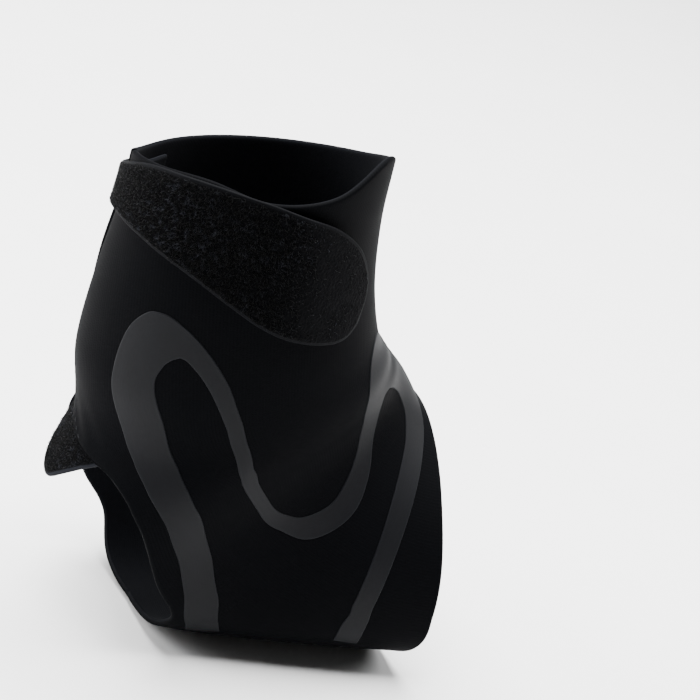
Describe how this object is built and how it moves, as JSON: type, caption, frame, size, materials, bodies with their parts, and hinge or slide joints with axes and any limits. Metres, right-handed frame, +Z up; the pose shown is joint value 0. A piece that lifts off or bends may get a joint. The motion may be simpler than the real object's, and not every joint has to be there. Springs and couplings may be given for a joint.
{
  "type": "ankle brace",
  "caption": "Wraparound elastic ankle brace for a right foot, with open heel and toes, a wrap strap and bonded wavy support bands.",
  "frame": {"origin": "where the sole of the foot rests: the brace's inner face, under the ankle (mount foot_seat)", "axes": "+X to the toes, +Y to the inner side of the foot, +Z up the leg"},
  "size_m": [0.1304, 0.0965, 0.1767],
  "materials": {
    "body_knit": "matte fine knit",
    "loop_pile": "matte loop pile",
    "hook_tape": "matte hook tape",
    "band_film": "satin bonded film"
  },
  "bodies": {
    "root": {"sleeve_body": "body_knit", "heel_wing": "loop_pile", "wrap_strap": "loop_pile", "hook_patch": "hook_tape", "outer_side_band": "band_film", "inner_side_band": "band_film"}
  },
  "joints": []
}
